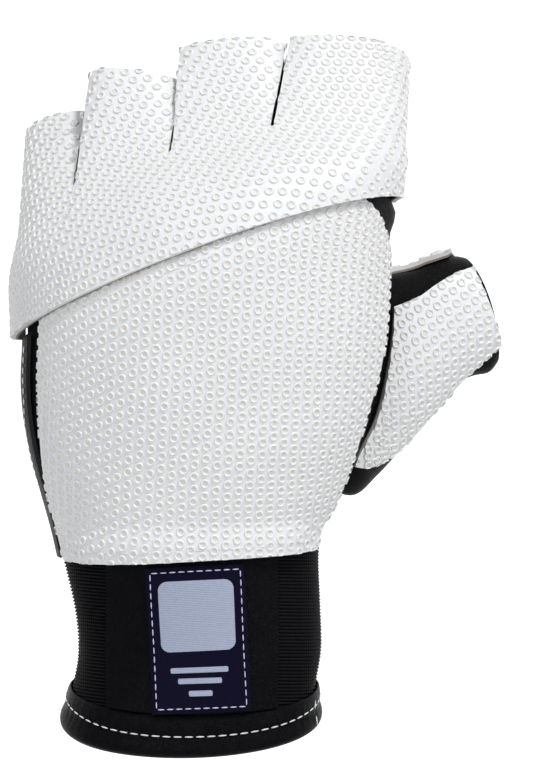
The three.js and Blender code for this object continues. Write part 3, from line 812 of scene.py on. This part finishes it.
# Back panel's seams: white thread stitched through the rubber just inside its sides and its lower
# edge, and once more just below the knuckle band's edge.
seam_steps = 200
seam_inset = 3.6
side_at = np.linspace(3.95, 8, seam_steps)
thumb_side_at = np.linspace(3.95, 7.9, seam_steps)
panel_seams = []
for turns, ats in (
        (panel_sides(side_at)[0] + seam_inset, side_at),
        (panel_sides(thumb_side_at)[1] - seam_inset, thumb_side_at),
        (np.linspace(29, 151, seam_steps), np.full(seam_steps, panel_low + 0.17)),
        (np.linspace(30, 92, seam_steps), np.full(seam_steps, 7.86))):
    seam_line = lifted(hand, turns, ats, panel_height(turns, ats))
    panel_seams.append((seam_line, slopes(hand, turns, ats)[2]))
sew("back_panel_stitches", panel_seams, 2.8, 2.1, 0.2, thread, "dotted_rubber")

# Thumb shell: a short tube of the same 1.2 mm leather, sewn into the side of the hand round its
# root and open at its end.
thumb_seat = 0.44
hand_solid_rows = np.linspace(3.9, 10.2, 90)


def hand_tree(height, columns=120):
    bm = sheet(columns, 89, lambda column, row: lifted(
        hand, 360 * column / columns, hand_solid_rows[row], np.full(len(row), float(height))))
    tree = BVHTree.FromBMesh(bm)
    bm.free()
    return tree


def root_rows(tree, angles, height):
    """Where along the thumb each line of its tube comes out of the hand."""
    found, tries = [], 141
    for angle in angles:
        ats = np.linspace(0, thumb_end, tries)
        points = lifted(thumb, np.full(tries, float(angle)), ats, np.full(tries, float(height)))
        depth = np.array([depth_in(tree, point) for point in points])
        inside = np.nonzero(depth > 0)[0]
        last = inside[-1] if len(inside) else 0
        if last >= tries - 1 or not len(inside):
            found.append(ats[last])
        else:
            share = depth[last] / (depth[last] - depth[last + 1])
            found.append(lerp(ats[last], ats[last + 1], share))
    return np.array(found)


thumb_columns, thumb_along = 96, 44
thumb_angles = 360 * np.arange(thumb_columns + 1) / thumb_columns
on_hand = hand_tree(0.05)
thumb_starts = root_rows(on_hand, thumb_angles, 0)
swell_angle, swell_row, swell_height = 172, 6.5, 2.4  # the soft rim bulges under the tip


def thumb_points(column, row):
    at = lerp(thumb_starts[column], thumb_end, row / thumb_along)
    across = (thumb_angles[column] - swell_angle) / 26
    swell = np.exp(-across ** 2 - ((at - swell_row) / 0.6) ** 2)
    return lifted(thumb, thumb_angles[column], at, swell_height * swell)


thumb_bm = sheet(thumb_columns, thumb_along, thumb_points)
bmesh.ops.remove_doubles(thumb_bm, verts=thumb_bm.verts[:], dist=weld)
thicken(thumb_bm, leather_wall, 1, 2)
piece("thumb_tube", thumb_bm, (leather.material, lining.material, cut_leather.material),
      "grained_leather", "thumb_shell")

# Thumb panels: dotted rubber on the thumb's back and on its palm side, with bare leather gussets
# between them.
thumb_back_to = np.array((128, 136, 146, 153, 156, 154, 146, 135), float)
thumb_rim = thumb_end - 0.04
rim_slant = 0.5
rubber_tuck = 0.2
root_clearance = 2.9  # mm off the hand's form where the panels begin
ring_lean = math.radians(100)


def thumb_panel(name, node, low_at, high_at, start, slant=0.0, tuck=0.0):
    """A panel between two angles along the thumb. Slant cuts its rim back on the low side, and
    tuck carries its root in under the back panel there."""
    columns, rows = 60, 60
    shares = np.arange(columns + 1) / columns
    height = thumb_seat + panel_wall
    turns = [lerp(low_at(3.5), high_at(3.5), share) for share in shares]
    starts = root_rows(hand_tree(root_clearance), turns, height)
    starts = starts - tuck * (1 - smoothstep(shares, 0.35, 0.75))

    def rim_at(share):
        return thumb_rim - slant * (1 - share) ** 1.5

    def place_of(column, row):
        at = lerp(starts[column], rim_at(column / columns), row / rows)
        return lerp(low_at(at), high_at(at), column / columns), at

    def clip(angle, at, centre):
        low, high = low_at(at), high_at(at)
        angle = np.clip(angle, low, high)
        share = (angle - low) / (high - low)
        return angle, np.clip(at, np.interp(share, shares, starts), rim_at(share))

    bm = sheet(columns, rows, lambda column, row: lifted(
        thumb, *place_of(column, row), np.full(len(row), height)))
    thicken(bm, panel_wall, 2, 1)
    rings = lattice(thumb, start, (math.cos(ring_lean), 0, math.sin(ring_lean)), (34, 34, 18, 18))
    rings = rings[(rings[:, 1] > 0) & (rings[:, 1] < thumb_end + 0.5)]
    mould_rings(bm, thumb, rings, lambda a, b: np.full(np.shape(a), height), clip)
    piece(name, bm, rubber_finishes, "dotted_rubber", node)


def back_rubber_from(at):
    return 49 + 0 * np.asarray(at, float)


def back_rubber_to(at):
    return between(thumb_back_to, np.asarray(at, float))


def palm_rubber_from(at):
    return 218 + 0 * np.asarray(at, float)


def palm_rubber_to(at):
    """The palm rubber's upper edge: it laps over the thumb's top, then rounds off at the rim."""
    at = np.asarray(at, float)
    return 353 + 20 * smoothstep(at, 2, 5) - 70 * smoothstep(at, 5.1, 6.9)


thumb_panel("thumb_back_rubber", "thumb_back_panel", back_rubber_from, back_rubber_to,
            (100, 4.5), rim_slant, rubber_tuck)
thumb_panel("thumb_palm_rubber", "thumb_palm_panel", palm_rubber_from, palm_rubber_to, (270, 4.5))

# Palm panel: the same dotted rubber laid flat on the leather of the palm and sewn on, cut out
# round the thumb's root.
palm_from, palm_to = 202, 334
palm_low, palm_high = 4.202, 9.811
palm_columns, palm_rows = 110, 96
palm_face = 2.24
round_thumb = thumb_tube(0.7)


def palm_points(column, row):
    angle = lerp(palm_from, palm_to, column / palm_columns)
    at = lerp(palm_low, palm_high, row / palm_rows)
    return lifted(hand, angle, at, np.full(len(at), palm_face))


def palm_clip(angle, at, centre):
    return np.clip(angle, palm_from, palm_to), np.clip(at, palm_low, palm_high)


palm_bm = sheet(palm_columns, palm_rows, palm_points)
palm_inside = {vert: depth_in(round_thumb, vert.co / mm) for vert in palm_bm.verts}
bmesh.ops.delete(palm_bm, geom=[face for face in palm_bm.faces if any(
    palm_inside[vert] > 0 for vert in face.verts)], context="FACES")
thicken(palm_bm, panel_wall, 2, 1)
palm_rings = lattice(hand, (270, 6.5), (0, 0, 1), (60, 60, 22, 22))
palm_rings = np.array([ring for ring in palm_rings if 3 < ring[1] < 10.5 and depth_in(
    round_thumb, hand(ring[:1], ring[1:])[0]) < -1.3])
mould_rings(palm_bm, hand, palm_rings, lambda a, b: np.full(np.shape(a), palm_face), palm_clip)
piece("palm_rubber", palm_bm, rubber_finishes, "dotted_rubber", "palm_panel")

# Elastic cuff: black ribbed elastic knit, 1.7 mm thick, sewn to the shell above and into the
# hem's binding below.
rib_pitch = 0.93
rib_rise = 0.27
rib_sink = 0.17
elastic_wall = 1.7
elastic_columns, elastic_rows = 150, 240
elastic_low, elastic_high = 0.233, 3.991


def rib_height(points):
    return rib_rise * np.cos(2 * np.pi * (points[:, 2] + 0.05 * points[:, 0]) / rib_pitch)


def elastic_points(column, row):
    angle = 360 * column / elastic_columns
    at = lerp(elastic_low, elastic_high, row / elastic_rows)
    return lifted(hand, angle, at, rib_height(hand(angle, at)) - rib_sink)


knit = Finish("elastic_knit", Roughness=0.6, Specular_IOR_Level=0.04)
yarn = knit.noise(2600.0, 3, 0.6)
loops = knit.node("TexWave", {"wave_type": "BANDS", "bands_direction": "X"}, {
    "Vector": knit.place(), "Scale": 520.0, "Distortion": 1.5, "Detail": 1.0})
knit_at = [knit.node("SeparateXYZ", None, {0: knit.place()}, axis) for axis in (0, 2)]
# The knit's colour is lighter on the crests of its ribs and darker in the furrows between them, in
# step with the ribs' shape: painted highlight and painted shade.
rib_painted_light = ((knit_at[1] + knit_at[0] * 0.05) * (2 * math.pi / (rib_pitch * mm))).sum("COSINE")
knit.set(Base_Color=knit.ramp(
    yarn * 0.3 + loops * 0.15 + rib_painted_light * 0.4 + 0.25,
    (0.15, grey(0.0002)), (0.95, (0.0135, 0.0125, 0.015))))
knit.bump(loops + yarn * 0.5, 0.00012, 0.7)
elastic_bm = sheet(elastic_columns, elastic_rows, elastic_points)
bmesh.ops.remove_doubles(elastic_bm, verts=elastic_bm.verts[:], dist=weld)
thicken(elastic_bm, elastic_wall)
piece("elastic_cuff_knit", elastic_bm, (knit.material,), "elastic_knit", "elastic_cuff", sharp=80)

# Hem binding: a strip of smooth black leather folded round the elastic's lower edge and sewn
# through with white thread, which pulls a furrow into it. Its ends meet on the thumb side.
smooth = Finish("smooth_leather", Specular_IOR_Level=0.06)
skin = smooth.node("TexVoronoi", {"feature": "DISTANCE_TO_EDGE"}, {
    "Vector": smooth.place(), "Scale": 1900.0})
wear = smooth.noise(120.0, 4, 0.6)
skin_height = skin.sum("MINIMUM", 0.2) * 2 + wear
smooth.set(Base_Color=smooth.ramp(
    skin.sum("MINIMUM", 0.2) * 2.5 + wear * 0.5,
    (0.3, (0.0003, 0.0002, 0.0005)), (0.8, (0.0034, 0.003, 0.0044))))
smooth.set(Roughness=wear * 0.25 + 0.25)
smooth.bump(skin_height, 0.00025, 0.7)
hem_profile = (
    (1.0, 0.25), (1.04, 0.6), (0.98, 1.0), (0.82, 1.3), (0.64, 1.3), (0.5, 1.2), (0.38, 1.6),
    (0.2, 2.0), (0.05, 1.6), (-0.02, 0.3), (0.0, -1.2), (0.06, -2.6), (0.2, -3.3), (0.5, -3.4),
    (0.64, -3.2), (0.65, -2.3), (0.5, -2.05), (0.25, -2.05), (0.215, -1.0), (0.21, 0.2),
    (0.4, 0.34), (0.8, 0.34))
hem_columns = 168
hem_steps = 4
hem_curve = np.array(hem_profile)
hem_rows = len(hem_curve) * hem_steps
hem_curve = np.stack([between(np.concatenate((hem_curve[:, k], hem_curve[:1, k])),
                              np.arange(hem_rows + 1) / hem_steps) for k in range(2)], axis=-1)


def hem_points(column, row):
    angle = 360 * column / hem_columns
    at, height = hem_curve[row % hem_rows].T
    pucker = 0.12 * np.sin(column * 2 * np.pi * 3 / 8) * np.exp(-((at - 0.55) / 0.3) ** 2)
    return lifted(hand, angle, at, height + np.where(height > 0.6, pucker, 0))


hem_bm = sheet(hem_columns, hem_rows, hem_points)
bmesh.ops.remove_doubles(hem_bm, verts=hem_bm.verts[:], dist=weld)
bmesh.ops.recalc_face_normals(hem_bm, faces=hem_bm.faces[:])
piece("cuff_hem_binding", hem_bm, (smooth.material,), "smooth_leather", "hem_binding")
hem_marks = 400
hem_turns = np.linspace(0, 360, hem_marks)
hem_row = 0.52 + 0.2 * np.cos(np.radians(hem_turns)) ** 4
hem_line = lifted(hand, hem_turns, hem_row, np.full(hem_marks, 1.28))
bar_at = np.linspace(0.95, 0.05, 60)
bar_turn = np.full(60, 163.0)
bar_height = np.interp(bar_at, (0, 0.2, 0.38, 0.5, 0.82, 1), (1.5, 2.0, 1.6, 1.25, 1.3, 1))
bar_line = lifted(hand, bar_turn, bar_at, bar_height)
sew("hem_stitches", [(hem_line, slopes(hand, hem_turns, hem_row)[2]),
                     (bar_line, slopes(hand, bar_turn, bar_at)[2])],
    3.0, 2.35, 0.21, thread, "elastic_knit")

# Wrist patch: smooth black leather, 1.1 mm thick, sewn on the back of the cuff to carry the label.
# Its upper edge goes in under the back panel.
patch_wall = 1.1
patch_width = 45
patch_low, patch_high = 1.055, 3.973
patch_grid = 40


def angle_at(x, at):
    left, right = between(hand_rows["left"], at), between(hand_rows["right"], at)
    return np.degrees(np.arccos(np.clip(1 - 2 * (x - left) / (right - left), -1, 1)))


def patch_points(column, row):
    at = lerp(patch_low, patch_high, row / patch_grid)
    angle = angle_at((column / patch_grid - 0.5) * patch_width, at)
    return lifted(hand, angle, at, np.full(len(at), sewn_gap + patch_wall))


patch_bm = sheet(patch_grid, patch_grid, patch_points)
thicken(patch_bm, patch_wall)
piece("cuff_patch", patch_bm, (smooth.material,), "smooth_leather", "wrist_patch")

# Label: a dark satin-woven tab with a bare pale field and plain bars, its edges turned under,
# sewn all round with a pale dashed seam.
label_wall = 0.8
label_size = (25.5, 39.7)
label_middle = (1.68, 23.9)
label_turn = math.radians(2.8)
label_high = 2 * sewn_gap + patch_wall + label_wall
label_columns, label_rows = 40, 60


def label_place(across, along, height):
    """A place on the label: across and along in mm from its middle."""
    x = label_middle[0] + across * math.cos(label_turn) - along * math.sin(label_turn)
    z = label_middle[1] + across * math.sin(label_turn) + along * math.cos(label_turn)
    at = np.full(np.shape(x), 2.0)
    for _ in range(14):
        at = at + (z - hand(angle_at(x, at), at)[..., 2]) / 11.5
    return lifted(hand, angle_at(x, at), at, height)


def label_points(column, row):
    across = (column / label_columns - 0.5) * label_size[0]
    along = (row / label_rows - 0.5) * label_size[1]
    edge = np.minimum(label_size[0] / 2 - np.abs(across), label_size[1] / 2 - np.abs(along))
    return label_place(across, along, label_high - 0.3 * np.exp(-edge / 0.35))


weave = Finish("label_weave", Roughness=0.6, Specular_IOR_Level=0.05)
map_uv = weave.node("TexCoord", None, None, "UV")
apart = weave.node("SeparateXYZ", None, {0: map_uv})
label_x = (apart - 0.5) * label_size[0]
label_y = (weave.node("SeparateXYZ", None, {0: map_uv}, 1) - 0.5) * label_size[1]


def rounded_box(x, y, middle, half, corner):
    """1 inside a box with round corners, 0 outside it."""
    dx = ((x - middle[0]).sum("ABSOLUTE") - (half[0] - corner)).sum("MAXIMUM", 0)
    dy = ((y - middle[1]).sum("ABSOLUTE") - (half[1] - corner)).sum("MAXIMUM", 0)
    far = (dx * dx + dy * dy).sum("SQRT")
    return far.sum("LESS_THAN", corner)


field_middle = (0, 6.6)
field = rounded_box(label_x, label_y, field_middle, (9.6, 9.6), 2.4)
for bar_y, bar_half in ((-8.2, 7.4), (-11.2, 5.6), (-14.6, 3.0)):
    field = field + rounded_box(label_x, label_y, (0, bar_y), (bar_half, 0.75), 0.4)
satin = weave.node("TexWave", {"wave_type": "BANDS", "bands_direction": "Y"}, {
    "Vector": map_uv, "Scale": 26.0, "Distortion": 0.4, "Detail": 1.0})
slub = weave.noise(1800.0, 3)
cloth_shade = satin * 0.5 + slub * 0.5
weave.set(Base_Color=weave.mix(
    field, weave.ramp(cloth_shade, (0.2, (0.002, 0.0015, 0.008)), (0.8, (0.006, 0.0048, 0.022))),
    weave.ramp(cloth_shade, (0.2, (0.27, 0.31, 0.42)), (0.8, (0.4, 0.44, 0.55)))))
weave.bump(cloth_shade + field * 0.6, 0.0001, 0.6)
label_bm = sheet(label_columns, label_rows, label_points)
thicken(label_bm, label_wall)
piece("woven_label", label_bm, (weave.material,), "label_weave", "label")
label_thread = Finish("label_thread", Roughness=0.5, Sheen_Weight=0.2)
label_twist = label_thread.noise(5200.0, 3, 0.6)
label_thread.set(Base_Color=label_thread.ramp(
    label_twist, (0.3, (0.45, 0.44, 0.6)), (0.7, (0.66, 0.66, 0.8))))
inset = 1.25
run_steps = 60
ends = np.array(((-1, -1), (1, -1), (1, 1), (-1, 1), (-1, -1))) * (
    label_size[0] / 2 - inset, label_size[1] / 2 - inset)
seams = []
for start, end in zip(ends[:-1], ends[1:]):
    across, along = lerp(start, end, np.linspace(0, 1, run_steps)[:, None]).T
    on_label, above = (label_place(across, along, np.full(run_steps, label_high + up))
                       for up in (0, 1))
    seams.append((label_place(across, along, np.full(run_steps, label_high - 0.02)),
                  unit(above - on_label)))
sew("label_stitches", seams, 2.4, 1.85, 0.17, label_thread, "label_weave")

# Studio: a pale floor well below the held-up glove and a white backdrop far behind it. The main
# light comes from the upper right, with soft light from the left front and the right side, and
# the camera is level with the palm.
glove_middle = Vector((0.0201, 0, 0.0912))
camera_distance = 1.4
pixel = 0.274 * mm
photo_width = 533
camera = bpy.data.objects.new("camera", bpy.data.cameras.new("camera"))
camera.data.sensor_fit = "HORIZONTAL"
camera.data.sensor_width = 36
camera.data.lens = camera.data.sensor_width * camera_distance / (photo_width * pixel)
camera.location = glove_middle + Vector((0, -camera_distance, 0))
camera.rotation_euler = (math.pi / 2, 0, 0)
bpy.context.scene.collection.objects.link(camera)
bpy.context.scene.camera = camera
bpy.context.scene.view_settings.view_transform = "Standard"

world = bpy.data.worlds.new("studio")
world.use_nodes = True
room = world.node_tree.nodes["Background"].inputs
room["Color"].default_value = (0.95, 0.97, 1, 1)
room["Strength"].default_value = 0.44
bpy.context.scene.world = world


def softbox(name, place, size, power):
    light = bpy.data.lights.new(name, "AREA")
    light.shape = "DISK"
    light.size = size
    light.energy = power
    lamp = bpy.data.objects.new(name, light)
    lamp.location = place
    lamp.rotation_euler = (glove_middle - Vector(place)).to_track_quat("-Z", "Y").to_euler()
    bpy.context.scene.collection.objects.link(lamp)


softbox("key_light", (0.62, -0.8, 1.3), 0.3, 14.5)
softbox("fill_light", (-0.8, -1.35, 0.5), 1.0, 7.5)
softbox("side_light", (1.3, -0.8, 0.15), 0.8, 3.2)


def stage_sheet(name, size, turn, place, glow):
    bm = bmesh.new()
    bmesh.ops.create_grid(bm, x_segments=4, y_segments=4, size=size)
    mesh = bpy.data.meshes.new(name)
    bm.to_mesh(mesh)
    bm.free()
    finish = Finish(name, Roughness=0.9, Base_Color=(0.9, 0.9, 0.9, 1),
                    Emission_Color=(1, 1, 1, 1), Emission_Strength=glow)
    mesh.materials.append(finish.material)
    made = bpy.data.objects.new(name, mesh)
    made.rotation_euler = turn
    made.location = place
    bpy.context.scene.collection.objects.link(made)


stage_sheet("studio_floor", 0.6, (0, 0, 0), (0, 0, -0.5), 0.2)
stage_sheet("studio_backdrop", 8, (math.pi / 2, 0, 0), (0, 6, 0), 0.9)
